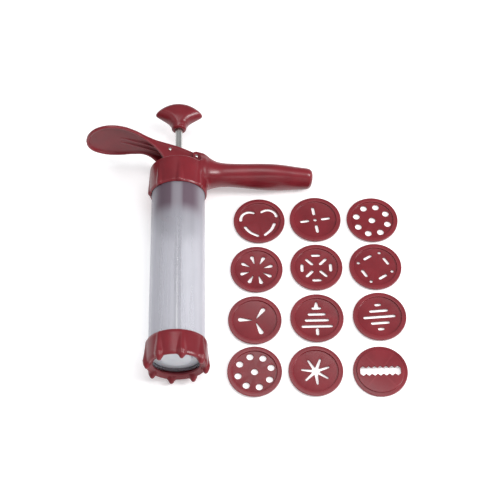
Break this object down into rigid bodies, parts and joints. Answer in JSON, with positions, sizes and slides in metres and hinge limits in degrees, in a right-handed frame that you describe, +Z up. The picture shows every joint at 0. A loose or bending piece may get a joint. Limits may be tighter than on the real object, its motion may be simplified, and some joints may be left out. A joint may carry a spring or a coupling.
{
  "type": "cookie press",
  "caption": "Hand-held cookie press with a frosted barrel, ribbed nozzle ring, side handle, squeeze lever and push rod, lying beside its set of patterned dough discs.",
  "frame": {"origin": "centre of the laid-out set's bounding box, on the surface that it lies on", "axes": "+Z up from that surface; +Y along the barrel from the nozzle to the knob; +X from the barrel towards the handle and the discs"},
  "size_m": [0.2994, 0.3064, 0.0612],
  "materials": {
    "red_plastic": "glossy deep red moulded plastic",
    "frosted_tube": "frosted translucent plastic",
    "bright_steel": "bright drawn steel",
    "white_plastic": "off-white moulded plastic"
  },
  "bodies": {
    "press": {"barrel_tube": "frosted_tube", "head": "red_plastic", "lever_pin": "bright_steel", "lever_spring": "bright_steel"},
    "ring": {"nozzle_ring": "red_plastic"},
    "lever": {"lever": "red_plastic", "pawl_pin": "bright_steel", "pawl_spring": "bright_steel"},
    "pawl": {"pawl": "bright_steel"},
    "plunger": {"piston": "white_plastic"},
    "rod": {"push_rod": "bright_steel", "rod_knob": "red_plastic", "piston_clip": "bright_steel"},
    "disc_heart": {"disc_heart": "red_plastic"},
    "disc_cross": {"disc_cross": "red_plastic"},
    "disc_nine_hole_a": {"disc_nine_hole_a": "red_plastic"},
    "disc_flower": {"disc_flower": "red_plastic"},
    "disc_cross_bars": {"disc_cross_bars": "red_plastic"},
    "disc_square": {"disc_square": "red_plastic"},
    "disc_propeller": {"disc_propeller": "red_plastic"},
    "disc_tree": {"disc_tree": "red_plastic"},
    "disc_bars": {"disc_bars": "red_plastic"},
    "disc_nine_hole_b": {"disc_nine_hole_b": "red_plastic"},
    "disc_star": {"disc_star": "red_plastic"},
    "disc_ribbon": {"disc_ribbon": "red_plastic"}
  },
  "joints": [
    {"name": "ring_off", "type": "slide", "parent": "press", "child": "ring", "axis": [0, -1, 0], "range_m": [0, 0.03]},
    {"name": "lever_squeeze", "type": "hinge", "parent": "press", "child": "lever", "pos_m": [-0.04474, 0.08424, 0.02721], "axis": [0.1357, 0, 0.9907], "range_deg": [0, 16], "stiffness_Nm_per_rad": 0.5, "springref_deg": -17.19, "deforming": ["lever_spring"]},
    {"name": "pawl_swing", "type": "hinge", "parent": "lever", "child": "pawl", "pos_m": [-0.06981, 0.09273, 0.03065], "axis": [0.1357, 0, 0.9907], "range_deg": [-16, 0]},
    {"name": "plunger_slide", "type": "slide", "parent": "press", "child": "plunger", "axis": [0, 1, 0], "range_m": [-0.0045, 0.14]},
    {"name": "rod_turn", "type": "hinge", "parent": "plunger", "child": "rod", "pos_m": [-0.06069, 0.01843, 0.0294], "axis": [0, 1, 0], "range_deg": [0, 180]},
    {"name": "lift_disc_heart", "type": "slide", "parent": "press", "child": "disc_heart", "axis": [0, 0, 1], "range_m": [0, 0.05]},
    {"name": "lift_disc_cross", "type": "slide", "parent": "press", "child": "disc_cross", "axis": [0, 0, 1], "range_m": [0, 0.05]},
    {"name": "lift_disc_nine_hole_a", "type": "slide", "parent": "press", "child": "disc_nine_hole_a", "axis": [0, 0, 1], "range_m": [0, 0.05]},
    {"name": "lift_disc_flower", "type": "slide", "parent": "press", "child": "disc_flower", "axis": [0, 0, 1], "range_m": [0, 0.05]},
    {"name": "lift_disc_cross_bars", "type": "slide", "parent": "press", "child": "disc_cross_bars", "axis": [0, 0, 1], "range_m": [0, 0.05]},
    {"name": "lift_disc_square", "type": "slide", "parent": "press", "child": "disc_square", "axis": [0, 0, 1], "range_m": [0, 0.05]},
    {"name": "lift_disc_propeller", "type": "slide", "parent": "press", "child": "disc_propeller", "axis": [0, 0, 1], "range_m": [0, 0.05]},
    {"name": "lift_disc_tree", "type": "slide", "parent": "press", "child": "disc_tree", "axis": [0, 0, 1], "range_m": [0, 0.05]},
    {"name": "lift_disc_bars", "type": "slide", "parent": "press", "child": "disc_bars", "axis": [0, 0, 1], "range_m": [0, 0.05]},
    {"name": "lift_disc_nine_hole_b", "type": "slide", "parent": "press", "child": "disc_nine_hole_b", "axis": [0, 0, 1], "range_m": [0, 0.05]},
    {"name": "lift_disc_star", "type": "slide", "parent": "press", "child": "disc_star", "axis": [0, 0, 1], "range_m": [0, 0.05]},
    {"name": "lift_disc_ribbon", "type": "slide", "parent": "press", "child": "disc_ribbon", "axis": [0, 0, 1], "range_m": [0, 0.05]}
  ],
  "couplings": [
    {"joint": "pawl_swing", "follows": "lever_squeeze", "ratio": -1}
  ]
}
